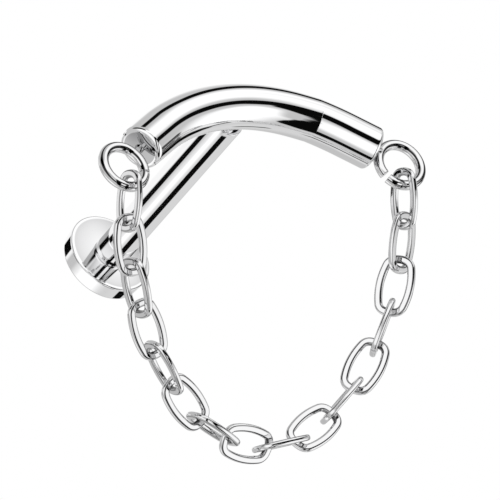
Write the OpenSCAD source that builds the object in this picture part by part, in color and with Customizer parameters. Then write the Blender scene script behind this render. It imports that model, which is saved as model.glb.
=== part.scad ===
// Flat back stud: a curved bar on a straight post, with a cable chain hung between the bar's ends.
// Millimetres. The origin is the middle of the post's wearable length, +Z is up, +Y runs to the back,
// and +X runs along the bar's chord.

/* [Bar] */
// Diameter of the bar
bar_d = 1.54; // [1.2:0.02:1.8]
// Radius of the bar's centre line over its curved stretch
bar_arc_r = 7.55; // [6.5:0.05:9]
// Half of the angle that the curved stretch turns through
bar_half_angle = 31.3; // [25:0.1:36]
// Length of the straight stretch at each end of the bar
bar_end_len = 1.25; // [0.8:0.05:1.6]
// Rounding of the edge round each polished end face
bar_edge = 0.18; // [0.1:0.02:0.3]

/* [Post and flat back] */
// Diameter of the post
post_d = 1.2; // [1:0.05:1.4]
// Distance from the bar's centre line to the inner face of the flat back
post_reach = 8.6; // [7:0.05:10]
// Clearance between the bar's underside and the post's flat top
post_gap = 0.05; // [0.03:0.01:0.1]
// Angle by which the post drops below level as it runs to the back
post_drop = 34.6; // [20:0.1:45]
// Diameter of the flat back
back_d = 3.05; // [2.5:0.05:4]
// Thickness of the flat back
back_t = 0.72; // [0.5:0.02:1]
// Rounding of the flat back's edges
back_edge = 0.09; // [0.04:0.01:0.15]

/* [Hidden pin] */
// Diameter of the pin that the bar carries inside the post
pin_d = 0.7; // [0.5:0.02:0.8]
// Length of the pin inside the post
pin_len = 2; // [1:0.1:3]
// Clearance round the pin and past its tip
pin_gap = 0.03; // [0.02:0.01:0.06]

/* [End rings] */
// Radius of the centre line of each open ring
ring_r = 0.785; // [0.7:0.005:0.85]
// Diameter of the ring's wire
ring_wire = 0.36; // [0.26:0.01:0.4]
// Distance of the left ring's centre from the middle of the bar, along the chord
left_ring_x = 5.95; // [5.8:0.01:6.05]
// Distance of the left ring's centre below the crown of the bar's centre line
left_ring_drop = 2.48; // [2.4:0.01:2.55]
// Angle by which the left ring tips out of the bar's plane, its lower edge forward
left_ring_tip = 2.5; // [0:0.1:8]
// Angle by which the left ring is also twisted about its upright diameter
left_ring_twist = 1.7; // [0:0.1:8]
// Width of the open gap in the left ring
left_slit = 0.07; // [0.04:0.01:0.2]
// Distance of the right ring's centre from the middle of the bar, along the chord
right_ring_x = 5.79; // [5.7:0.01:5.95]
// Distance of the right ring's centre below the crown of the bar's centre line
right_ring_drop = 2.37; // [2.3:0.01:2.5]
// Angle by which the right ring tips out of the bar's plane, its lower edge forward
right_ring_tip = 4.3; // [0:0.1:8]
// Angle by which the right ring is also twisted about its upright diameter
right_ring_twist = 6.6; // [0:0.1:8]
// Width of the open gap in the right ring
right_slit = 0.16; // [0.04:0.01:0.25]
// Diameter of the solder bead that joins each ring to the bar
bead_d = 0.4; // [0.36:0.02:0.6]

/* [Chain] */
// Outer length of a link
link_len = 2.13; // [2.12:0.01:2.16]
// Outer width of a link
link_w = 1.36; // [1.3:0.01:1.4]
// Width of the link's flattened wire, across the face of the link
wire_w = 0.28; // [0.24:0.01:0.29]
// Thickness of the link's flattened wire
wire_t = 0.21; // [0.16:0.01:0.22]
// Chamfer on the four edges of the wire
wire_chamfer = 0.05; // [0.03:0.01:0.07]
// Distance along the chord from the middle of the bar to the first link's upper contact
hang_x = 5.92; // [5.88:0.01:5.96]
// Distance in front of the bar's crown at which the chain hangs
hang_front = 1.75; // [1.7:0.01:1.8]
// Distance below the bar's crown of the first link's upper contact
hang_drop = 2.45; // [2.4:0.01:2.5]

/* [Hidden] */
$fn = 64;

// Radii of the centre line of a link: its corners, its rounded ends and its bowed sides
corner_r = 0.33;
end_r = 0.85;
side_r = 2.4;

// Hang of the chain. A row for each link from the left ring to the right one:
// lean is the angle from straight down, growing towards +X, turn is the angle of the link's
// face about its own length, from the plane that the chain hangs in, and step is the distance
// from the contact at the link's upper or first end to the one where the next link starts.
LEAN = 0;
TURN = 1;
STEP = 2;
chain = [
    // lean, turn, step
    [-4.2, 93, 1.47],
    [6, 0, 1.46],
    [14.8, 90, 1.46],
    [22.8, 1, 1.465],
    [32.5, 97, 1.475],
    [44.2, 4, 1.485],
    [60.6, 95, 1.5],
    [79.6, 17, 1.505],
    [99.6, 80, 1.515],
    [122.2, -38, 1.51],
    [132.6, -115, 1.52],
    [146.1, -46, 1.52],
    [153.9, 51.5, 1.5],
    [164.9, -56, 1.495],
    [171.5, 17.5, 1.49],
    [181.1, -90, 1.49]
];
link_count = len(chain);

// Direction in each ring, in degrees from +X, of its open gap
left_slit_at = -21;
right_slit_at = 210;

// How deep the solder bead reaches into the bar
bead_sink = 0.2;

// Length by which the arcs of a link run into each other, so that they are one solid
arc_lap = 0.0002;

bar_r = bar_d / 2;
post_start = bar_r + post_gap;
post_mid = (bar_r + post_reach) / 2;
bar_end_x = bar_arc_r * sin(bar_half_angle) + bar_end_len * cos(bar_half_angle);
bar_end_drop = bar_arc_r * (1 - cos(bar_half_angle)) + bar_end_len * sin(bar_half_angle);

// Place of a point of the bar's own plane in the part's frame
function bar_to_part(x, z) = [
    x,
    z * sin(post_drop) - post_mid * cos(post_drop),
    z * cos(post_drop) + post_mid * sin(post_drop)
];

// The upper contact of the first link
hang_from = bar_to_part(0, 0) + [-hang_x, -hang_front, -hang_drop];

// Names of the links, link_01 and on
function two_digits(i) = str(i < 10 ? "0" : "", i);
function link_name(i) = str("link_", two_digits(i + 1));

// Rod along +Z from 0 to len, with a rounded edge round its far end
module rounded_rod(d, len, edge) {
    rotate_extrude()
        union() {
            square([d / 2 - edge, len]);
            square([d / 2, len - edge]);
            translate([d / 2 - edge, len - edge]) circle(r = edge, $fn = 32);
        }
}

// Disc along +Z from 0 to t, with both of its edges rounded
module rounded_disc(d, t, edge) {
    rotate_extrude()
        union() {
            square([d / 2 - edge, t]);
            translate([0, edge]) square([d / 2, t - 2 * edge]);
            translate([d / 2 - edge, edge]) circle(r = edge, $fn = 32);
            translate([d / 2 - edge, t - edge]) circle(r = edge, $fn = 32);
        }
}

// Sets its children, drawn with the post along +Y and the bar's crown at +Z, in the part's frame
module on_post_line() {
    rotate([-post_drop, 0, 0])
        translate([0, -post_mid, 0])
            children();
}

// Half of the bar, on the +X side: its straight end, and the curved stretch from there to the crown.
// Both are drawn from the plane where they meet.
module half_bar() {
    translate([0, 0, -bar_arc_r])
        rotate([0, bar_half_angle, 0]) {
            translate([0, 0, bar_arc_r])
                rotate([0, 90, 0])
                    rounded_rod(bar_d, bar_end_len, bar_edge);
            rotate([90, 0, 0])
                rotate([0, 0, 90])
                    rotate_extrude(angle = bar_half_angle)
                        translate([bar_arc_r, 0]) circle(d = bar_d);
        }
}

// Open ring round the Y axis, with its gap at the given direction
module open_ring(slit, slit_at) {
    slit_angle = 2 * asin(slit / 2 / ring_r);
    rotate([90, 0, 0])
        rotate([0, 0, slit_at + slit_angle / 2])
            rotate_extrude(angle = 360 - slit_angle)
                translate([ring_r, 0]) circle(d = ring_wire, $fn = 32);
}

// Solder bead between the bar's end face and a ring that is placed on the +X side
module solder_bead(ring_x, ring_drop) {
    dx = ring_x - bar_end_x;
    dz = bar_end_drop - ring_drop;
    reach = norm([dx, dz]) - ring_r;
    translate([bar_end_x, 0, -bar_end_drop])
        rotate([0, atan2(dx, dz), 0])
            translate([0, 0, -bead_sink])
                cylinder(d = bead_d, h = reach + bead_sink, $fn = 32);
}

// Pin that the bar carries inside the post
module pin() {
    rotate([-90, 0, 0]) cylinder(d = pin_d, h = post_start + pin_len, $fn = 48);
}

module curved_bar() {
    color("silver")
        on_post_line() {
            half_bar();
            mirror([1, 0, 0]) half_bar();
            solder_bead(right_ring_x, right_ring_drop);
            mirror([1, 0, 0]) solder_bead(left_ring_x, left_ring_drop);
            translate([right_ring_x, 0, -right_ring_drop])
                rotate([right_ring_tip, 0, -right_ring_twist])
                    open_ring(right_slit, right_slit_at);
            translate([-left_ring_x, 0, -left_ring_drop])
                rotate([left_ring_tip, 0, -left_ring_twist])
                    open_ring(left_slit, left_slit_at);
            pin();
        }
}

module flat_back() {
    color("silver")
        on_post_line()
            rotate([-90, 0, 0])
                difference() {
                    union() {
                        translate([0, 0, post_start]) cylinder(d = post_d, h = post_reach - post_start);
                        translate([0, 0, post_reach]) rounded_disc(back_d, back_t, back_edge);
                    }
                    translate([0, 0, post_start - 1])
                        cylinder(d = pin_d + 2 * pin_gap, h = 1 + pin_len + pin_gap, $fn = 48);
                }
}

// Section of the flattened wire, with its edges chamfered
module wire_section() {
    w = wire_w / 2;
    t = wire_t / 2;
    c = wire_chamfer;
    polygon([[w, c - t], [w, t - c], [w - c, t], [c - w, t], [-w, t - c], [-w, c - t], [c - w, -t], [w - c, -t]]);
}

// Stretch of wire bent to a radius about a centre, from one direction to another
module wire_arc(centre, r, from, to) {
    lap = arc_lap / r * 180 / PI;
    translate(centre)
        rotate([0, 0, from - lap])
            rotate_extrude(angle = to - from + 2 * lap)
                translate([r, 0]) wire_section();
}

// Half length and half width of a link's centre line
half_len = (link_len - wire_w) / 2;
half_w = (link_w - wire_w) / 2;

// Where the corner arc's centre lies, so that it runs smoothly into the side arc and the end arc:
// it is side_r - corner_r from the side arc's centre and end_r - corner_r from the end arc's
side_centre = [0, half_w - side_r];
end_centre = [half_len - end_r, 0];
centres_apart = norm(end_centre - side_centre);
along = ((side_r - corner_r) ^ 2 - (end_r - corner_r) ^ 2 + centres_apart ^ 2) / (2 * centres_apart);
across = sqrt((side_r - corner_r) ^ 2 - along ^ 2);
unit = (end_centre - side_centre) / centres_apart;
corner_centre = side_centre + along * unit + across * [unit[1], -unit[0]];
side_stop = atan2(corner_centre[1] - side_centre[1], corner_centre[0]);
end_stop = atan2(corner_centre[1], corner_centre[0] - end_centre[0]);

// One link, lying in the XY plane with its length along X: two bowed sides, two rounded ends
// and four corners
module link_body() {
    for (turned = [0, 180])
        rotate([0, 0, turned]) {
            wire_arc(side_centre, side_r, side_stop, 180 - side_stop);
            wire_arc(end_centre, end_r, -end_stop, end_stop);
            wire_arc(corner_centre, corner_r, end_stop, side_stop);
            wire_arc([corner_centre[0], -corner_centre[1]], corner_r, -side_stop, -end_stop);
        }
}

// Direction of a link's length, and where its centre hangs: each link starts at the contact
// where the one before it ends
function link_dir(i) = [sin(chain[i][LEAN]), 0, -cos(chain[i][LEAN])];
function contact(i) = i == 0 ? hang_from : contact(i - 1) + chain[i - 1][STEP] * link_dir(i - 1);
function link_centre(i) = contact(i) + chain[i][STEP] / 2 * link_dir(i);

module chain_link(i) {
    color("gainsboro")
        translate(link_centre(i))
            rotate([90 + chain[i][TURN], 90 - chain[i][LEAN], 0])
                link_body();
}

curved_bar();
flat_back();
for (i = [0 : link_count - 1])
    chain_link(i);
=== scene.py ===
"""Flat back stud: a curved bar on a post, a disc back and a cable chain between the bar's rings.

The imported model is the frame. Each metal piece is drawn again here with finely divided, smoothly
shaded surfaces, because polished metal shows every facet, and stands in the place of its solid.
Sizes are in millimetres until a mesh is made.
"""

import logging
import math
from dataclasses import dataclass
from enum import Enum

import bpy
import numpy as np
from mathutils import Matrix, Vector


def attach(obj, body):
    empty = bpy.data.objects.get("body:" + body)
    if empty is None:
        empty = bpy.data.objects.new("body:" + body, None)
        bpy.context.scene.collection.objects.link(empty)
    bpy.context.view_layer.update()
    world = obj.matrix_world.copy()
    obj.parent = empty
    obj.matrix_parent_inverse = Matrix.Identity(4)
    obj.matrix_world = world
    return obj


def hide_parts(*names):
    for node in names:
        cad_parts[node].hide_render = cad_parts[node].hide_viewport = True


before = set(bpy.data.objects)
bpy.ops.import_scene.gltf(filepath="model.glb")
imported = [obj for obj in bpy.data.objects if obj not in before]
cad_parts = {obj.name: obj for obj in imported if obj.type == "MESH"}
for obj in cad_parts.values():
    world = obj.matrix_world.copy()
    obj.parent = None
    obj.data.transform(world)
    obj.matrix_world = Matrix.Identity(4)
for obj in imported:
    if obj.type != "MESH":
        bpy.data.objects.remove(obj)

LOG = logging.getLogger("flat_back_stud")
PAINTED_REFLECTION_AND_SHADE = "painted_reflection_and_shade"
MM = 0.001
TINY = 0.001
UP = np.array([0.0, 0.0, 1.0])
TO_BACK = np.array([0.0, 1.0, 0.0])
TO_RIGHT = np.array([1.0, 0.0, 0.0])
Points = np.ndarray


class Side(Enum):
    """An end of the bar, with its sign along +X."""

    LEFT = -1
    RIGHT = 1


class Level(Enum):
    """How bright a card or panel of the studio is, as linear light."""

    BLACK = 0.003
    DIM = 0.07
    GREY = 0.57
    SOFT = 0.70
    PALE = 0.82
    BRIGHT = 0.98
    WHITE = 1.12


def unit(v: Points) -> Points:
    """Returns v at length one."""
    return v / np.linalg.norm(v)


def polar(azimuth: float, elevation: float, ahead: Points, right: Points) -> Points:
    """Direction at an azimuth and an elevation, in degrees.

    Args:
        azimuth: Angle from ahead, growing towards right.
        elevation: Angle above the horizon.
        ahead: Level direction of azimuth 0.
        right: Level direction of azimuth 90.

    Returns:
        The unit vector.
    """
    a, e = math.radians(azimuth), math.radians(elevation)
    level = math.cos(a) * ahead + math.sin(a) * right
    return math.cos(e) * level + math.sin(e) * UP


@dataclass(frozen=True)
class PolishedMetal:
    """Bright polished metal, with faint polishing lines and a slightly uneven gloss.

    The tone goes over to a painted dark tone by the share that each mesh carries. These painted
    places stand mostly for dark reflections that one studio cannot give to every piece at once:
    painted reflection, with painted shade where links meet.
    """

    name: str
    tone: tuple[float, float, float] = (0.955, 0.955, 0.96)
    toned_down: tuple[float, float, float] = (0.92, 0.92, 0.925)
    # The painted dark tone, for painted reflection and painted shade.
    painted_reflection_and_shade_tone: tuple[float, float, float] = (0.46, 0.46, 0.465)
    gloss_low: float = 0.02
    gloss_high: float = 0.045
    haze_scale: float = 900.0
    haze_detail: float = 3.0
    haze_from: float = 0.3
    haze_to: float = 0.7
    line_scale: float = 5200.0
    line_detail: float = 2.0
    line_stretch: float = 0.2
    line_strength: float = 0.006
    line_depth: float = 0.00001

    def material(self) -> bpy.types.Material:
        """Makes the node material, once.

        Returns:
            The material, the same one at each later call.
        """
        made = bpy.data.materials.get(self.name)
        if made is not None:
            return made
        made = bpy.data.materials.new(self.name)
        made.use_nodes = True
        nodes, links = made.node_tree.nodes, made.node_tree.links
        shader = nodes["Principled BSDF"]
        shader.inputs["Metallic"].default_value = 1.0
        where = nodes.new("ShaderNodeTexCoord")
        haze = nodes.new("ShaderNodeTexNoise")
        haze.inputs["Scale"].default_value = self.haze_scale
        haze.inputs["Detail"].default_value = self.haze_detail
        links.new(where.outputs["Object"], haze.inputs["Vector"])
        gloss = nodes.new("ShaderNodeMapRange")
        gloss.inputs["From Min"].default_value = self.haze_from
        gloss.inputs["From Max"].default_value = self.haze_to
        gloss.inputs["To Min"].default_value = self.gloss_low
        gloss.inputs["To Max"].default_value = self.gloss_high
        links.new(haze.outputs["Fac"], gloss.inputs["Value"])
        links.new(gloss.outputs["Result"], shader.inputs["Roughness"])
        shade = nodes.new("ShaderNodeMix")
        shade.data_type = "RGBA"
        shade.inputs["A"].default_value = (*self.tone, 1.0)
        shade.inputs["B"].default_value = (*self.toned_down, 1.0)
        links.new(haze.outputs["Fac"], shade.inputs["Factor"])
        # Painted reflection and painted shade: each mesh's share mixes the colour towards the
        # painted dark tone.
        share = nodes.new("ShaderNodeAttribute")
        share.attribute_name = PAINTED_REFLECTION_AND_SHADE
        painted_reflection_and_shade = nodes.new("ShaderNodeMix")
        painted_reflection_and_shade.data_type = "RGBA"
        painted_reflection_and_shade.inputs["B"].default_value = (*self.painted_reflection_and_shade_tone, 1.0)
        links.new(shade.outputs["Result"], painted_reflection_and_shade.inputs["A"])
        links.new(share.outputs["Fac"], painted_reflection_and_shade.inputs["Factor"])
        links.new(painted_reflection_and_shade.outputs["Result"], shader.inputs["Base Color"])
        lines = nodes.new("ShaderNodeTexNoise")
        lines.inputs["Scale"].default_value = self.line_scale
        lines.inputs["Detail"].default_value = self.line_detail
        stretch = nodes.new("ShaderNodeMapping")
        stretch.inputs["Scale"].default_value = (self.line_stretch, 1.0, 1.0)
        links.new(where.outputs["Object"], stretch.inputs["Vector"])
        links.new(stretch.outputs["Vector"], lines.inputs["Vector"])
        bump = nodes.new("ShaderNodeBump")
        bump.inputs["Strength"].default_value = self.line_strength
        bump.inputs["Distance"].default_value = self.line_depth
        links.new(lines.outputs["Fac"], bump.inputs["Height"])
        links.new(bump.outputs["Normal"], shader.inputs["Normal"])
        return made


MIRROR = PolishedMetal("mirror_polished_metal")
RING_WIRE = PolishedMetal(
    "polished_ring_wire",
    tone=(0.87, 0.87, 0.875),
    toned_down=(0.83, 0.83, 0.835),
    haze_scale=1500.0,
    painted_reflection_and_shade_tone=(0.03, 0.03, 0.031),
)
BRIGHT = PolishedMetal(
    "bright_polished_chain_metal",
    tone=(0.85, 0.85, 0.855),
    toned_down=(0.81, 0.81, 0.815),
    gloss_low=0.03,
    gloss_high=0.06,
    haze_scale=1500.0,
    painted_reflection_and_shade_tone=(0.04, 0.04, 0.042),
)


class Surface:
    """Grid of points that becomes one smoothly shaded, closed mesh."""

    def __init__(self, name: str) -> None:
        """Starts an empty surface.

        Args:
            name: The name of the piece that it becomes.
        """
        self.name = name
        self.verts: list[Points] = []
        self.faces: list[tuple[int, ...]] = []
        self.painted_reflection_and_shade: list[float] = []

    def ring_rows(
        self, rows: list[Points], closed: bool = False, painted_reflection_and_shade: Points | None = None
    ) -> None:
        """Adds rows of points, each a closed ring, and joins each row to the next.

        The faces look outward where the rings run anticlockwise, seen from the row that comes next.

        Args:
            rows: Rings with the same number of points, in millimetres.
            closed: Whether the last row joins the first one; otherwise both ends are capped.
            painted_reflection_and_shade: How far each point of each row is painted dark, as painted
                reflection and painted shade, from 0 to 1; bright all over without it.
        """
        start, n = len(self.verts), len(rows[0])
        shares = np.zeros((len(rows), n)) if painted_reflection_and_shade is None else painted_reflection_and_shade
        for row, share in zip(rows, shares):
            self.verts.extend(row)
            self.painted_reflection_and_shade.extend(share)
        spans = len(rows) if closed else len(rows) - 1
        for i in range(spans):
            a, b = start + i * n, start + (i + 1) % len(rows) * n
            for j in range(n):
                k = (j + 1) % n
                self.faces.append((a + j, a + k, b + k, b + j))
        if not closed:
            self._cap(rows[0], start, n, flip=True)
            self._cap(rows[-1], start + (len(rows) - 1) * n, n, flip=False)

    def _cap(self, row: Points, start: int, n: int, flip: bool) -> None:
        """Closes an end ring with a fan.

        Args:
            row: The ring's points.
            start: The number of its first vertex.
            n: How many points it has.
            flip: Whether the fan faces the other way round.
        """
        centre = len(self.verts)
        self.verts.append(np.mean(row, axis=0))
        self.painted_reflection_and_shade.append(self.painted_reflection_and_shade[start])
        for j in range(n):
            k = (j + 1) % n
            tri = (start + j, start + k, centre)
            self.faces.append(tri[::-1] if flip else tri)

    def build(self, finish: PolishedMetal, slot: str) -> bpy.types.Object:
        """Makes the mesh object, dresses it and sets it riding on the part.

        Args:
            finish: The metal that it is dressed in.
            slot: Not used.

        Returns:
            The finished object.
        """
        mesh = bpy.data.meshes.new(self.name)
        mesh.from_pydata((np.array(self.verts) * MM).tolist(), [], self.faces)
        mesh.update()
        for polygon in mesh.polygons:
            polygon.use_smooth = True
        # Each point's share of painted reflection and painted shade, read by the material.
        mesh.attributes.new(PAINTED_REFLECTION_AND_SHADE, "FLOAT", "POINT").data.foreach_set("value", self.painted_reflection_and_shade)
        mesh.materials.append(finish.material())
        made = bpy.data.objects.new(self.name, mesh)
        bpy.context.scene.collection.objects.link(made)
        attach(made, "root")
        return made


def ring_of(centre: Points, across: Points, up: Points, outline: Points) -> Points:
    """Sets a flat outline, given as pairs, at centre along across and up."""
    return centre + outline[:, :1] * across + outline[:, 1:] * up


def circle(radius: float, sides: int) -> Points:
    """Returns a circle as pairs, anticlockwise."""
    t = np.linspace(0, 2 * math.pi, sides, endpoint=False)
    return radius * np.stack([np.cos(t), np.sin(t)], axis=1)


@dataclass
class PostLine:
    """The line of the post, which sets points drawn with the post along +Y in the part."""

    drop: float = 34.6
    bar_d: float = 1.54
    reach: float = 8.6

    @property
    def middle(self) -> float:
        """Distance from the bar's centre line to the part's origin, along the post."""
        return (self.bar_d / 2 + self.reach) / 2

    def place(self, points: Points) -> Points:
        """Sets points of the bar's own frame in the part.

        Args:
            points: Points from the bar's crown, with the post along +Y and the crown up.

        Returns:
            The same points in the part's frame.
        """
        a = math.radians(self.drop)
        p = np.asarray(points, float) - np.array([0.0, self.middle, 0.0])
        y, z = p[..., 1], p[..., 2]
        return np.stack(
            [p[..., 0], y * math.cos(a) + z * math.sin(a), z * math.cos(a) - y * math.sin(a)],
            axis=-1,
        )

    def turned_rows(self, profile: list[tuple[float, float]], sides: int) -> list[Points]:
        """Rings of a piece turned round this line.

        Args:
            profile: Pairs of distance along the post and radius.
            sides: How many points each ring has.

        Returns:
            A ring for each pair, in the part's frame.
        """
        rings = [ring_of(y * TO_BACK, UP, TO_RIGHT, circle(r, sides)) for y, r in profile]
        return [self.place(ring) for ring in rings]


@dataclass(frozen=True)
class EndRing:
    """Place, gap and painted dark reflection patch of an open ring, with its angles in degrees.

    Its centre lies x and drop from the crown, and tip and twist lean it. Slit is the width of its
    gap, and slit_at the angle round it where the gap lies. Patch is how many degrees its outer line
    of painted dark reflection gains in half width at the angle patch_at.
    """

    x: float
    drop: float
    tip: float
    twist: float
    slit: float
    slit_at: float
    patch: float
    patch_at: float


@dataclass
class CurvedBar:
    """The bar with its soldered end rings, and the pin that it carries inside the post."""

    line: PostLine

    # The bar, its rounded edges and its slightly domed end faces
    arc_r: float = 7.55
    half_angle: float = 31.3
    end_len: float = 1.25
    edge: float = 0.18
    edge_steps: int = 14
    face_dome: float = 5.0
    face_rows: tuple[float, ...] = (0.97, 0.9, 0.8, 0.65, 0.5, 0.35, 0.2, 0.08)
    sides: int = 128
    steps: int = 260

    # The crease: lengths from the crown, and slopes in degrees before and after it
    crease_from: float = 2.2
    crease_at: float = 2.91
    crease_to: float = 4.12
    crease_beside: float = 0.012
    crease_dip: float = 3.5
    crease_rise: float = 3.0

    # The pin, along the post
    pin_d: float = 0.7
    pin_from: float = 0.5
    pin_tip: float = 2.82
    pin_edge: float = 0.06
    pin_sides: int = 48

    # The end rings; wire_end pairs radians from the wire's end with shares of its radius
    ring_r: float = 0.785
    ring_wire: float = 0.36
    left_ring: EndRing = EndRing(
        x=-5.95, drop=2.48, tip=2.5, twist=1.7, slit=0.07, slit_at=-21.0, patch=9.0, patch_at=178.0
    )
    right_ring: EndRing = EndRing(
        x=5.79, drop=2.37, tip=4.3, twist=6.6, slit=0.16, slit_at=210.0, patch=11.0, patch_at=-25.0
    )
    wire_end: tuple[tuple[float, float], ...] = (
        (0.0, 0.6),
        (0.0, 0.9),
        (0.0018, 0.97),
        (0.006, 1.0),
    )
    wire_sides: int = 120
    ring_steps: int = 150

    # The painted dark reflections along the rings' wire, as ring_lines explains
    outer_line: tuple[float, float, float] = (50.5, 10.0, 6.0)
    outer_width: tuple[float, float, float] = (4.5, 0.0, 0.0)
    inner_line: tuple[float, float, float] = (118.0, 10.0, 8.0)
    inner_width: tuple[float, float, float] = (6.0, 3.0, 2.0)
    line_soft: float = 4.0
    patch_falloff: int = 6

    # The beads of solder
    bead_d: float = 0.4
    bead_sink: float = 0.1
    bead_waist: float = 0.72
    bead_sides: int = 32
    bead_steps: int = 16

    @property
    def radius(self) -> float:
        """Radius of the bar."""
        return self.line.bar_d / 2

    @property
    def half_len(self) -> float:
        """Half of the bar's length along its centre line."""
        return self.arc_r * math.radians(self.half_angle) + self.end_len

    def ring_at(self, side: Side) -> EndRing:
        """Returns the ring of one end."""
        return self.left_ring if side is Side.LEFT else self.right_ring

    def at(self, s: float) -> tuple[Points, Points, Points]:
        """Point of the bar's centre line at length s from the crown.

        Args:
            s: Signed length along the bar.

        Returns:
            The point, the direction along the bar and the outward direction in the bar's plane.
        """
        limit = math.radians(self.half_angle)
        a = max(-limit, min(limit, s / self.arc_r))
        along = np.array([math.cos(a), 0.0, -math.sin(a)])
        out = np.array([math.sin(a), 0.0, math.cos(a)])
        centre = self.arc_r * (out - UP)
        return centre + (s - a * self.arc_r) * along, along, out

    def crease(self, s: float) -> tuple[float, float]:
        """Faint crease where the bar's bend ends, on the right side.

        Args:
            s: Signed length along the bar.

        Returns:
            The outward shift in millimetres, and the extra slope in radians.
        """
        dip, rise = math.radians(self.crease_dip), math.radians(self.crease_rise)
        ramp, fall = self.crease_at - self.crease_from, self.crease_to - self.crease_at
        if self.crease_from < s <= self.crease_at:
            t = (s - self.crease_from) / ramp
            return dip * ramp * t * t / 2, -dip * t
        if self.crease_at < s < self.crease_to:
            t = (self.crease_to - s) / fall
            return rise * fall * t * t / 2 + (dip * ramp - rise * fall) / 2 * t, rise * t
        return 0.0, 0.0

    def end_profile(self) -> list[tuple[float, float]]:
        """Profile of one end: its rounded edge, then its slightly domed face.

        Returns:
            Pairs of length before the end and radius, inward to the face's middle.
        """
        flat = self.radius - self.edge
        sink = flat * math.tan(math.radians(self.face_dome)) / 2
        pairs = []
        for t in np.linspace(0, math.pi / 2, self.edge_steps):
            back = self.edge * (1 - math.sin(t))
            pairs.append((back + sink * (1 - back / self.edge), flat + self.edge * math.cos(t)))
        return pairs + [(sink * k * k, flat * k) for k in self.face_rows]

    def bar(self) -> bpy.types.Object:
        """Builds the polished bar, with a face and a rounded edge at each end.

        Returns:
            The bar.
        """
        middle = np.linspace(-self.half_len + self.edge, self.half_len - self.edge, self.steps)
        beside = (self.crease_at - self.crease_beside, self.crease_at + self.crease_beside)
        middle = np.sort([*middle[1:-1], *beside])
        end = self.end_profile()
        stations = [(-self.half_len + back, r) for back, r in reversed(end)]
        stations += [(s, self.radius) for s in middle]
        stations += [(self.half_len - back, r) for back, r in end]
        rows = []
        for s, r in stations:
            centre, along, out = self.at(s)
            lift, slope = self.crease(s)
            out = math.cos(slope) * out + math.sin(slope) * along
            row = ring_of(centre + lift * out, TO_BACK, out, circle(r, self.sides))
            rows.append(self.line.place(row))
        # Painted reflection: the end faces are painted in the darker tone, for the darker
        # reflection they show.
        on_face = np.array([r < self.radius - self.edge + TINY for _, r in stations], float)
        surface = Surface("polished_bar")
        surface.ring_rows(rows, painted_reflection_and_shade=np.repeat(on_face[:, None], self.sides, axis=1))
        return surface.build(MIRROR, "bar_metal")

    def ring_lines(self, ring: EndRing, around: float) -> Points:
        """How far the ring's wire is painted dark round its section, along an outer and an inner
        line.

        The lines are painted dark reflections that run along the wire. A line's place and its half
        width are three numbers each, in degrees round the section: a middle value, and what the
        cosine and the sine of the place round the ring add to it.

        Args:
            ring: The ring.
            around: The place round it, in radians from +X towards the crown.

        Returns:
            The share at each side of the wire's section.
        """
        lean = np.degrees(np.arccos(circle(1.0, self.wire_sides)[:, 0]))
        sway = np.array([1.0, math.cos(around), math.sin(around)])
        near_patch = max(0.0, math.cos(around - math.radians(ring.patch_at)))
        patch = ring.patch * near_patch**self.patch_falloff
        share = np.zeros(self.wire_sides)
        for line, half, extra in (
            (self.outer_line, self.outer_width, patch),
            (self.inner_line, self.inner_width, 0.0),
        ):
            reach = half @ sway + extra + self.line_soft
            apart = np.abs(lean - line @ sway)
            share = np.maximum(share, np.clip((reach - apart) / self.line_soft, 0, 1))
        return share

    def end_ring(self, side: Side) -> bpy.types.Object:
        """Builds the open wire ring under one end of the bar.

        Args:
            side: The end.

        Returns:
            The ring.
        """
        ring = self.ring_at(side)
        half = math.asin(ring.slit / 2 / self.ring_r)
        start = math.radians(ring.slit_at) + half
        tip = Matrix.Rotation(math.radians(ring.tip), 3, "X")
        turn = np.array(Matrix.Rotation(math.radians(-ring.twist), 3, "Z") @ tip)
        middle = np.array([ring.x, 0.0, -ring.drop])
        wire = circle(self.ring_wire / 2, self.wire_sides)
        sweep = 2 * math.pi - 2 * half
        stations = list(self.wire_end)
        stations += [(a, 1.0) for a in np.linspace(0, sweep, self.ring_steps)[1:-1]]
        stations += [(sweep - lead, k) for lead, k in reversed(self.wire_end)]
        rows, painted_reflection_and_shade = [], []
        for a, k in stations:
            # Painted dark reflections along the wire, as ring_lines works them out.
            painted_reflection_and_shade.append(self.ring_lines(ring, start + a))
            out = math.cos(start + a) * TO_RIGHT + math.sin(start + a) * UP
            row = ring_of(self.ring_r * out, out, TO_BACK, wire * k)
            rows.append(self.line.place(row @ turn.T + middle))
        surface = Surface(f"end_ring_{side.name.lower()}")
        surface.ring_rows(rows, painted_reflection_and_shade=np.array(painted_reflection_and_shade))
        return surface.build(RING_WIRE, "bar_metal")

    def solder(self, side: Side) -> bpy.types.Object:
        """Builds the bead of solder between the end face and the ring, narrow at its middle.

        Args:
            side: The end.

        Returns:
            The bead.
        """
        face, _, _ = self.at(side.value * self.half_len)
        ring = self.ring_at(side)
        middle = np.array([ring.x, 0.0, -ring.drop])
        along = unit(middle - face)
        reach = np.linalg.norm(middle - face) - self.ring_r
        side_on = np.cross(along, TO_BACK)
        rows = []
        for t in np.linspace(0, 1, self.bead_steps):
            radius = self.bead_d / 2 * (self.bead_waist + (1 - self.bead_waist) * (2 * t - 1) ** 2)
            at = face + along * (-self.bead_sink + t * (reach + self.bead_sink))
            row = ring_of(at, TO_BACK, side_on, circle(radius, self.bead_sides))
            rows.append(self.line.place(row))
        surface = Surface(f"solder_{side.name.lower()}")
        surface.ring_rows(rows)
        return surface.build(RING_WIRE, "bar_metal")

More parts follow.
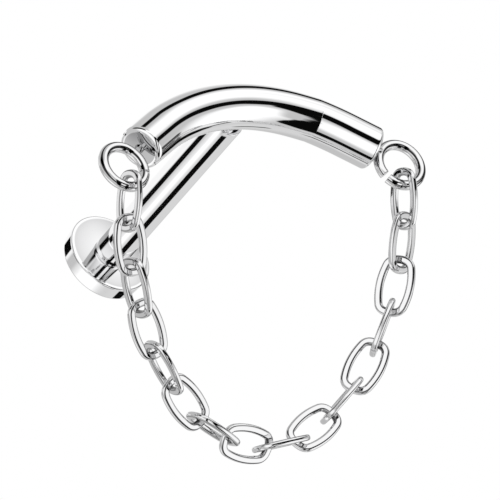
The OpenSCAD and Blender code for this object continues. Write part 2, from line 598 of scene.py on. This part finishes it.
    def pin(self) -> bpy.types.Object:
        """Builds the plain pin inside the post.

        Returns:
            The pin.
        """
        radius, edge = self.pin_d / 2, self.pin_edge
        profile = [
            (self.pin_from, radius),
            (self.pin_tip - edge, radius),
            (self.pin_tip, radius - edge),
        ]
        rows = self.line.turned_rows(profile, self.pin_sides)
        surface = Surface("hidden_pin")
        surface.ring_rows(rows)
        return surface.build(MIRROR, "bar_metal")

    def build(self) -> list[bpy.types.Object]:
        """Builds every piece of the bar.

        Returns:
            The pieces; the bar itself stands for the CAD node.
        """
        bar = self.bar()
        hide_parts("curved_bar")
        rest = [f(side) for side in Side for f in (self.end_ring, self.solder)]
        return [bar, *rest, self.pin()]


@dataclass
class FlatBack:
    """The post with its blind bore, and the disc at its far end."""

    line: PostLine
    sides: int = 128
    edge_steps: int = 9
    edge_inset: float = 0.985

    # The post, with the gap between it and the bar, and its bore
    post_d: float = 1.2
    gap: float = 0.05
    lip: float = 0.02
    post_steps: int = 40
    bore_d: float = 0.76
    bore_len: float = 2.03
    bore_rows: tuple[float, ...] = (0.5, 0.97, 1.0)
    bore_steps: int = 6

    # The disc, with its rim's taper and its face's dome in degrees
    disc_d: float = 3.05
    disc_t: float = 0.72
    disc_edge: float = 0.09
    rim_taper: float = 4.5
    rim_steps: int = 8
    face_dome: float = 5.0
    # How dark the disc's face is painted at its rim: a painted reflection.
    face_painted_reflection: float = 0.62
    face_rows: tuple[float, ...] = (0.05, 0.2, 0.35, 0.5, 0.65, 0.8, 0.9, 0.97)
    far_rows: tuple[float, ...] = (0.6, 0.3)

    def turned(
        self, name: str, profile: list[tuple[float, float]], painted_reflection_rows: int = 0
    ) -> bpy.types.Object:
        """Turns a profile into a closed piece round the post's line.

        Args:
            name: The piece's name.
            profile: Pairs of distance along the post and radius.
            painted_reflection_rows: How many rows from the start are painted darker, more and more
                outward, as a painted reflection.

        Returns:
            The finished piece.
        """
        rows = self.line.turned_rows(profile, self.sides)
        # Painted reflection: the first rows are painted darker, more and more outward.
        painted_reflection_and_shade = np.zeros((len(rows), self.sides))
        painted_reflection_and_shade[:painted_reflection_rows] = np.linspace(0, self.face_painted_reflection, painted_reflection_rows)[:, None]
        surface = Surface(name)
        surface.ring_rows(rows, painted_reflection_and_shade=painted_reflection_and_shade)
        return surface.build(MIRROR, "back_metal")

    def rounded(
        self, at: float, radius: float, edge: float, start: bool
    ) -> list[tuple[float, float]]:
        """Profile pairs over one rounded edge.

        Args:
            at: Where the flat face lies along the post.
            radius: Full radius beside the edge.
            edge: Radius of the rounding.
            start: Whether the piece begins at this face, or else ends there.

        Returns:
            The pairs, in order along the post.
        """
        turns = np.linspace(0, math.pi / 2, self.edge_steps)
        pairs = [(edge * (1 - math.sin(t)), radius - edge * (1 - math.cos(t))) for t in turns]
        pairs.append((0.0, (radius - edge) * self.edge_inset))
        if start:
            return [(at + back, r) for back, r in reversed(pairs)]
        return [(at - back, r) for back, r in pairs]

    def post(self) -> bpy.types.Object:
        """Builds the post, with the bore for the pin in its top.

        Returns:
            The post.
        """
        top = self.line.bar_d / 2 + self.gap
        bore = self.bore_d / 2
        floor = top + self.bore_len
        radius = self.post_d / 2
        profile = [(floor, bore * k) for k in self.bore_rows]
        profile += [(y, bore) for y in np.linspace(floor, top + self.lip, self.bore_steps)[1:]]
        profile += [(top, bore + self.lip)]
        profile += [p for p in self.rounded(top, radius, self.lip, True) if p[1] > bore + self.lip]
        along = np.linspace(top + self.lip, self.line.reach, self.post_steps)
        profile += [(y, radius) for y in along[1:]]
        return self.turned("post", profile)

    def disc(self) -> bpy.types.Object:
        """Builds the disc, with rounded edges, a rim tapered a little and a face domed a little.

        Returns:
            The disc.
        """
        near, far = self.line.reach, self.line.reach + self.disc_t
        radius = self.disc_d / 2
        taper = math.tan(math.radians(self.rim_taper))
        flat = radius - self.disc_edge
        sink = flat * math.tan(math.radians(self.face_dome)) / 2
        profile = [(near + sink * k * k, flat * k) for k in self.face_rows]
        front = self.rounded(near, radius, self.disc_edge, True)[1:]
        profile += [(y + sink * (1 - (y - near) / self.disc_edge), r) for y, r in front]
        start, stop = near + self.disc_edge, far - self.disc_edge
        rim = np.linspace(start, stop, self.rim_steps)[1:-1]
        profile += [(y, radius - taper * (y - start)) for y in rim]
        back = radius - taper * (stop - start)
        profile += self.rounded(far, back, self.disc_edge, False)
        profile += [(far, back * k) for k in self.far_rows]
        return self.turned("disc_back", profile, painted_reflection_rows=len(self.face_rows))

    def build(self) -> list[bpy.types.Object]:
        """Builds the post and the disc.

        Returns:
            The pieces; the post stands for the CAD node.
        """
        post = self.post()
        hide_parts("flat_back")
        return [post, self.disc()]


@dataclass(frozen=True)
class Hang:
    """How one link hangs.

    It leans from straight down towards +X and turns about its own length, both in degrees. The
    step goes from the contact where it starts to the one where the next link starts.
    """

    lean: float
    turn: float
    step: float


HANGS = (
    Hang(-4.2, 93, 1.47),
    Hang(6, 0, 1.46),
    Hang(14.8, 90, 1.46),
    Hang(22.8, 1, 1.465),
    Hang(32.5, 97, 1.475),
    Hang(44.2, 4, 1.485),
    Hang(60.6, 95, 1.5),
    Hang(79.6, 17, 1.505),
    Hang(99.6, 80, 1.515),
    Hang(122.2, -38, 1.51),
    Hang(132.6, -115, 1.52),
    Hang(146.1, -46, 1.52),
    Hang(153.9, 51.5, 1.5),
    Hang(164.9, -56, 1.495),
    Hang(171.5, 17.5, 1.49),
    Hang(181.1, -90, 1.49),
)


@dataclass
class CableChain:
    """The cable chain: closed oval links of flattened wire, each through the next."""

    line: PostLine

    # A link, its flattened wire and the radii of its arcs
    link_len: float = 2.13
    link_w: float = 1.36
    wire_w: float = 0.28
    wire_t: float = 0.21
    soft_edge: float = 0.088
    corner_r: float = 0.33
    end_r: float = 0.85
    side_r: float = 2.4
    wire_steps: int = 12
    flat_rows: tuple[float, ...] = (0.1, 0.5, 0.9)
    arc_steps: int = 14
    corner_steps: int = 12

    # Where the first link hangs, from the crown
    hang_x: float = 5.92
    hang_front: float = 1.75
    hang_drop: float = 2.45

    # The painted dark reflections along the roundings, with their lean off the flat face in
    # degrees, and the painted shade inside the ends
    line_lean: tuple[float, float, float, float] = (8.0, 15.0, 34.0, 43.0)
    line_even: float = 0.66
    line_away: float = 1.3
    loop_middle: tuple[float, float, float] = (0.0, -5.6, -3.5)
    end_from: float = 0.6
    end_painted_shade: float = 0.85

    def outline(self) -> tuple[Points, Points]:
        """Centre line of a link, with its length along X.

        Returns:
            The points of the line, and the outward direction at each of them.
        """
        half_len = (self.link_len - self.wire_w) / 2
        half_w = (self.link_w - self.wire_w) / 2
        side = np.array([0.0, half_w - self.side_r])
        end = np.array([half_len - self.end_r, 0.0])
        apart = np.linalg.norm(end - side)
        r0, r1 = self.side_r - self.corner_r, self.end_r - self.corner_r
        along = (r0**2 - r1**2 + apart**2) / (2 * apart)
        across = math.sqrt(r0**2 - along**2)
        u = (end - side) / apart
        corner = side + along * u + across * np.array([u[1], -u[0]])
        side_stop = math.atan2(corner[1] - side[1], corner[0])
        end_stop = math.atan2(corner[1], corner[0] - end[0])
        points, outs = [], []
        arcs = [
            (end, self.end_r, 0.0, end_stop, self.arc_steps),
            (corner, self.corner_r, end_stop, side_stop, self.corner_steps),
            (side, self.side_r, side_stop, math.pi / 2, self.arc_steps),
        ]
        for centre, r, start, stop, steps in arcs:
            for t in np.linspace(start, stop, steps, endpoint=False):
                out = np.array([math.cos(t), math.sin(t)])
                points.append(centre + r * out)
                outs.append(out)
        points.append(np.array([0.0, half_w]))
        outs.append(np.array([0.0, 1.0]))
        p, o = np.array(points), np.array(outs)
        flip = np.array([-1.0, 1.0])
        top_p = np.concatenate([p, (p * flip)[-2::-1]])
        top_o = np.concatenate([o, (o * flip)[-2::-1]])
        return np.concatenate([top_p[:-1], -top_p[:-1]]), np.concatenate([top_o[:-1], -top_o[:-1]])

    def section(self) -> tuple[Points, Points]:
        """Section of the flattened wire: a rectangle with its corners rounded.

        Returns:
            The points, as pairs of outward and across the face, and the direction that the surface
            faces at each of them.
        """
        half = np.array([self.wire_w, self.wire_t]) / 2 - self.soft_edge
        corners = half * [(1, 1), (-1, 1), (-1, -1), (1, -1)]
        pairs, facing = [], []
        for i, corner in enumerate(corners):
            for k in range(self.wire_steps + 1):
                a = math.pi / 2 * (i + k / self.wire_steps)
                faced = np.array([math.cos(a), math.sin(a)])
                pairs.append(corner + self.soft_edge * faced)
                facing.append(faced)
            onward = corners[(i + 1) % len(corners)] - corner
            pairs += [pairs[-1] + onward * k for k in self.flat_rows]
            facing += [faced] * len(self.flat_rows)
        return np.array(pairs), np.array(facing)

    def painted_reflection_and_shade_shares(self, outs: Points, facing: Points, away: Points) -> Points:
        """How far each point of a link is painted dark: along its roundings and inside its ends.

        The lines along the roundings are painted dark reflections that run along the wire. They are
        darkest on the side away from the loop's middle. The ends carry painted shade inside, where
        links meet.

        Args:
            outs: Outward direction at each place round the link.
            facing: Direction that the surface faces at each point of the section.
            away: How far each place and point looks sideways from the loop's middle, from -1 to 1.

        Returns:
            The share for each place and point.
        """
        # Painted dark reflections along the roundings, darker on the side away from the loop's
        # middle.
        lean = np.degrees(np.arccos(np.clip(np.abs(facing[:, 1]), 0, 1)))
        line = np.interp(lean, self.line_lean, (0.0, 1.0, 1.0, 0.0))
        line = line[None, :] * np.clip(self.line_even + self.line_away * away, 0, 1)
        # Painted shade inside the ends, where the next link lies.
        inside = np.clip(-facing[:, 0], 0, 1)
        at_end = np.clip((np.abs(outs[:, 0]) - self.end_from) / (1 - self.end_from), 0, 1)
        return np.maximum(line, self.end_painted_shade * at_end[:, None] * inside[None, :])

    def link(self, index: int, centre: Points, hang: Hang) -> bpy.types.Object:
        """Builds one link where it hangs.

        Args:
            index: Its place in the chain, from 0.
            centre: Its middle, in the part's frame.
            hang: Its lean and turn.

        Returns:
            The link, which stands for its CAD node.
        """
        a, t = math.radians(hang.lean), math.radians(hang.turn)
        along = np.array([math.sin(a), 0.0, -math.cos(a)])
        flat = np.array([math.cos(a), 0.0, math.sin(a)])
        across = math.cos(t) * flat - math.sin(t) * TO_BACK
        normal = np.cross(across, along)
        points, outs = self.outline()
        section, facing = self.section()
        outer = unit((centre - self.loop_middle) * (TO_RIGHT + UP))
        rows, away = [], []
        for p, o in zip(points, outs):
            at = centre + p[0] * along + p[1] * across
            out = o[0] * along + o[1] * across
            rows.append(ring_of(at, out, normal, section))
            away.append(facing[:, 0] * (out @ outer))
        name = f"link_{index + 1:02d}"
        surface = Surface(f"chain_{name}")
        # Painted dark reflections along the roundings and painted shade inside the ends.
        painted_reflection_and_shade = self.painted_reflection_and_shade_shares(outs, facing, np.array(away))
        surface.ring_rows(rows, closed=True, painted_reflection_and_shade=painted_reflection_and_shade)
        made = surface.build(BRIGHT, "chain_metal")
        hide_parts(name)
        return made

    def build(self) -> list[bpy.types.Object]:
        """Builds the links from the left ring to the right one, each from the last contact.

        Returns:
            The links, in order.
        """
        crown = self.line.place(np.zeros(3))
        at = crown + np.array([-self.hang_x, -self.hang_front, -self.hang_drop])
        made = []
        for i, hang in enumerate(HANGS):
            a = math.radians(hang.lean)
            step = hang.step * np.array([math.sin(a), 0.0, -math.cos(a)])
            made.append(self.link(i, at + step / 2, hang))
            at = at + step
        return made


@dataclass(frozen=True)
class Card:
    """A card or panel of the studio: a strip of the sky between two directions, with soft edges.

    Directions are in degrees: azimuth from the camera towards the picture's right, and elevation.
    """

    start: tuple[float, float]
    stop: tuple[float, float]
    half_width: float
    soft: float
    level: Level


CARDS = (
    # Pale panels behind, below and at the left
    Card((157, -32), (150, -72), 14, 8, Level.SOFT),
    Card((60, -84), (-120, -84), 12, 5, Level.SOFT),
    Card((180, 16), (178, -2), 13, 10, Level.PALE),
    Card((-106, -70), (-98, -24), 8, 6, Level.PALE),
    # White panels
    Card((-36, 16), (-6, -6), 22, 12, Level.WHITE),
    Card((84, -20), (100, -28), 24, 10, Level.WHITE),
    Card((77, -5), (71, -11), 8, 4, Level.WHITE),
    Card((33, -8), (29, -24), 14, 9, Level.WHITE),
    Card((-4, 47), (50, 50), 13, 6, Level.WHITE),
    Card((50, 44), (112, 50), 17, 8, Level.WHITE),
    Card((113, 42), (125, 38), 6, 5, Level.SOFT),
    Card((-73, -53), (-77, -46), 8, 7, Level.WHITE),
    Card((-94, -60), (-93, -35), 9, 8, Level.WHITE),
    Card((-118, 9), (-170, 10), 9, 3, Level.BRIGHT),
    # Black cards over the bar's upper side, the lower one in front of a grey card
    Card((176, 61), (161, 57), 6.5, 1.2, Level.BLACK),
    Card((161, 57), (161, 20), 6.5, 1.2, Level.BLACK),
    Card((118, 24), (90, 18), 13, 7, Level.GREY),
    Card((90, 18), (66, 15), 12, 7, Level.GREY),
    Card((108, 25.5), (90, 19.5), 6.5, 1.2, Level.BLACK),
    Card((90, 19.5), (74, 18), 6.8, 1.2, Level.BLACK),
    Card((74, 18), (62, 20), 8, 1.2, Level.BLACK),
    Card((62, 21), (44, 20), 9.5, 1.2, Level.BLACK),
    # Cards under the bar's right side
    Card((56, -6), (56, -26), 6.5, 4, Level.GREY),
    Card((64, 10), (55, 3), 5.5, 1.2, Level.BLACK),
    Card((52, 0), (48, -12), 3.6, 1, Level.BLACK),
    Card((46.8, -14), (45.3, -30), 5.2, 1, Level.BLACK),
    Card((45.5, -30), (46, -46), 6.8, 1, Level.BLACK),
    Card((50, -36), (54, -46), 6.5, 1.2, Level.BLACK),
    Card((50, -44), (62, -57), 9, 1.2, Level.BLACK),
    Card((58, -48), (68, -56), 7, 1.2, Level.BLACK),
    Card((8, -58.5), (30, -62), 7.5, 1.2, Level.BLACK),
    Card((30, -62), (60, -61), 8, 1.2, Level.BLACK),
    # Cards under the bar's left side
    Card((142, -14.5), (140, -22), 7, 1.2, Level.BLACK),
    Card((140, -22), (137, -28), 5, 1.5, Level.BLACK),
    Card((137, -28), (125, -41), 1.5, 1.3, Level.BLACK),
    Card((117, -4), (133, -13.5), 1.8, 1, Level.DIM),
    # Black cards along the post
    Card((-105.5, -0.3), (-92.3, -14.8), 2.6, 1, Level.BLACK),
    Card((157.5, -76), (-177, -82.5), 2, 0.8, Level.BLACK),
    Card((-177, -82.5), (-104.6, -82.1), 2, 0.8, Level.BLACK),
    Card((-104.6, -82.1), (-86, -77.5), 2, 0.8, Level.BLACK),
    # Black cards for the disc's rim
    Card((-125, 5.8), (-138, 10), 2.2, 1, Level.BLACK),
    Card((-138, 10), (-151, 10.7), 2.2, 1, Level.BLACK),
    Card((161, -38.5), (160.8, -54), 1.7, 0.8, Level.BLACK),
    # The dark over and right of the camera, for the rings and the links
    Card((-74, 40), (-36, 51), 15, 4, Level.BLACK),
    Card((31, 12), (25, 0), 8, 1.5, Level.BLACK),
    Card((25, 0), (15, -21), 8, 1.5, Level.BLACK),
    Card((15, -21), (5, -40), 8, 1.5, Level.BLACK),
)


@dataclass
class Studio:
    """Floor, sky of panels and cards, soft light and camera, all round the part."""

    # The camera
    view_azimuth: float = -37.68
    target: tuple[float, float, float] = (0.2862, -4.0774, -2.1556)
    distance: float = 720.0
    frame_width: float = 16.81
    sensor: float = 36.0
    nearest: float = 10.0
    farthest: float = 10000.0

    # The floor
    floor_z: float = -30.0
    floor_r: float = 340.0
    floor_sides: int = 96
    floor_paint: tuple[float, float, float] = (0.86, 0.86, 0.86)
    floor_roughness: float = 0.9

    # The soft light, and the white that the camera sees round the part
    light_at: tuple[float, float, float] = (-150.0, -250.0, 500.0)
    light_size: float = 500.0
    light_watts: float = 2.0
    plain_white: tuple[float, float, float] = (1.0, 1.0, 1.0)

    @property
    def ahead(self) -> Points:
        """Level direction from the part to the camera."""
        a = math.radians(self.view_azimuth)
        return np.array([math.sin(a), -math.cos(a), 0.0])

    @property
    def right(self) -> Points:
        """Level direction to the picture's right."""
        a = math.radians(self.view_azimuth)
        return np.array([math.cos(a), math.sin(a), 0.0])

    def camera(self) -> None:
        """Sets the camera at the photograph's angle, far off with a long lens."""
        data = bpy.data.cameras.new("camera")
        data.sensor_width = self.sensor
        data.lens = self.sensor * self.distance / self.frame_width
        data.clip_start, data.clip_end = self.nearest * MM, self.farthest * MM
        made = bpy.data.objects.new("camera", data)
        bpy.context.scene.collection.objects.link(made)
        back = Vector(self.ahead.tolist())
        made.location = (Vector(self.target) + back * self.distance) * MM
        made.rotation_euler = (-back).to_track_quat("-Z", "Y").to_euler()
        bpy.context.scene.camera = made

    def floor(self) -> None:
        """Lays the plain pale floor below the hanging part."""
        mesh = bpy.data.meshes.new("floor")
        rim = circle(self.floor_r * MM, self.floor_sides)
        points = [(x, y, self.floor_z * MM) for x, y in rim]
        mesh.from_pydata(points, [], [tuple(range(self.floor_sides))])
        made = bpy.data.objects.new("floor", mesh)
        paint = bpy.data.materials.new("pale_floor")
        paint.use_nodes = True
        shader = paint.node_tree.nodes["Principled BSDF"]
        shader.inputs["Base Color"].default_value = (*self.floor_paint, 1.0)
        shader.inputs["Roughness"].default_value = self.floor_roughness
        mesh.materials.append(paint)
        made.visible_glossy = False
        bpy.context.scene.collection.objects.link(made)

    def light(self) -> None:
        """Hangs one broad soft light over the part."""
        data = bpy.data.lights.new("soft_light", "AREA")
        data.shape = "DISK"
        data.size = self.light_size * MM
        data.energy = self.light_watts
        made = bpy.data.objects.new("soft_light", data)
        made.location = Vector(self.light_at) * MM
        made.rotation_euler = Vector(self.light_at).to_track_quat("Z", "Y").to_euler()
        made.visible_glossy = False
        bpy.context.scene.collection.objects.link(made)

    def card_mask(
        self, tree: bpy.types.NodeTree, ray: bpy.types.NodeSocket, card: Card
    ) -> bpy.types.NodeSocket:
        """Adds the nodes that say how much of a direction lies on a card.

        Args:
            tree: The sky's node tree.
            ray: Socket with the direction looked in.
            card: The card.

        Returns:
            Socket that is 1 on the card and 0 off it.
        """
        a = polar(*card.start, self.ahead, self.right)
        b = polar(*card.stop, self.ahead, self.right)

        def vector(op: str, first: object, second: object = None) -> bpy.types.Node:
            """Adds one vector node.

            Args:
                op: What it works out.
                first: Its first input, a socket or a constant.
                second: Its second input, left as it is without one.

            Returns:
                The node.
            """
            node = tree.nodes.new("ShaderNodeVectorMath")
            node.operation = op
            for socket, value in zip(node.inputs, (first, second)):
                if isinstance(value, bpy.types.NodeSocket):
                    tree.links.new(value, socket)
                elif value is not None:
                    socket.default_value = value
            return node

        span = b - a
        offset = vector("SUBTRACT", ray, a.tolist())
        dot = vector("DOT_PRODUCT", offset.outputs["Vector"], (span / (span @ span)).tolist())
        share = tree.nodes.new("ShaderNodeClamp")
        tree.links.new(dot.outputs["Value"], share.inputs["Value"])
        step = vector("SCALE", span.tolist())
        tree.links.new(share.outputs["Result"], step.inputs["Scale"])
        foot = vector("ADD", step.outputs["Vector"], a.tolist())
        foot = vector("NORMALIZE", foot.outputs["Vector"])
        apart = vector("DISTANCE", ray, foot.outputs["Vector"])
        edge = tree.nodes.new("ShaderNodeMapRange")
        edge.interpolation_type = "SMOOTHSTEP"
        edge.inputs["From Min"].default_value = math.radians(card.half_width + card.soft)
        edge.inputs["From Max"].default_value = math.radians(card.half_width - card.soft)
        tree.links.new(apart.outputs["Value"], edge.inputs["Value"])
        return edge.outputs["Result"]

    def sky(self) -> None:
        """Makes the sky: grey all round, with the panels and cards laid on it in order.

        The camera itself sees plain white in its place.
        """
        world = bpy.data.worlds.new("studio")
        world.use_nodes = True
        tree = world.node_tree
        tree.nodes.clear()
        where = tree.nodes.new("ShaderNodeTexCoord")
        aim = tree.nodes.new("ShaderNodeVectorMath")
        aim.operation = "NORMALIZE"
        tree.links.new(where.outputs["Generated"], aim.inputs[0])
        ray = aim.outputs["Vector"]
        level = None
        for card in CARDS:
            mix = tree.nodes.new("ShaderNodeMix")
            mix.data_type = "FLOAT"
            if level is None:
                mix.inputs["A"].default_value = Level.GREY.value
            else:
                tree.links.new(level, mix.inputs["A"])
            mix.inputs["B"].default_value = card.level.value
            tree.links.new(self.card_mask(tree, ray, card), mix.inputs["Factor"])
            level = mix.outputs["Result"]
        seen = tree.nodes.new("ShaderNodeBackground")
        lit = tree.nodes.new("ShaderNodeBackground")
        for background in (seen, lit):
            background.inputs["Color"].default_value = (*self.plain_white, 1.0)
        tree.links.new(level, lit.inputs["Strength"])
        path = tree.nodes.new("ShaderNodeLightPath")
        both = tree.nodes.new("ShaderNodeMixShader")
        tree.links.new(path.outputs["Is Camera Ray"], both.inputs["Fac"])
        tree.links.new(lit.outputs["Background"], both.inputs[1])
        tree.links.new(seen.outputs["Background"], both.inputs[2])
        out = tree.nodes.new("ShaderNodeOutputWorld")
        tree.links.new(both.outputs["Shader"], out.inputs["Surface"])
        bpy.context.scene.world = world

    def build(self) -> None:
        """Sets the whole studio up, with plain display colours."""
        self.camera()
        self.floor()
        self.light()
        self.sky()
        bpy.context.scene.view_settings.view_transform = "Standard"


def main() -> None:
    logging.basicConfig(level=logging.INFO, format="%(name)s: %(message)s")
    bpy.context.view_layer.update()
    Studio().build()
    line = PostLine()
    for assembly in (CurvedBar(line), FlatBack(line), CableChain(line)):
        for piece in assembly.build():
            LOG.info("%s has %d faces", piece.name, len(piece.data.polygons))


if __name__ == "__main__":
    main()
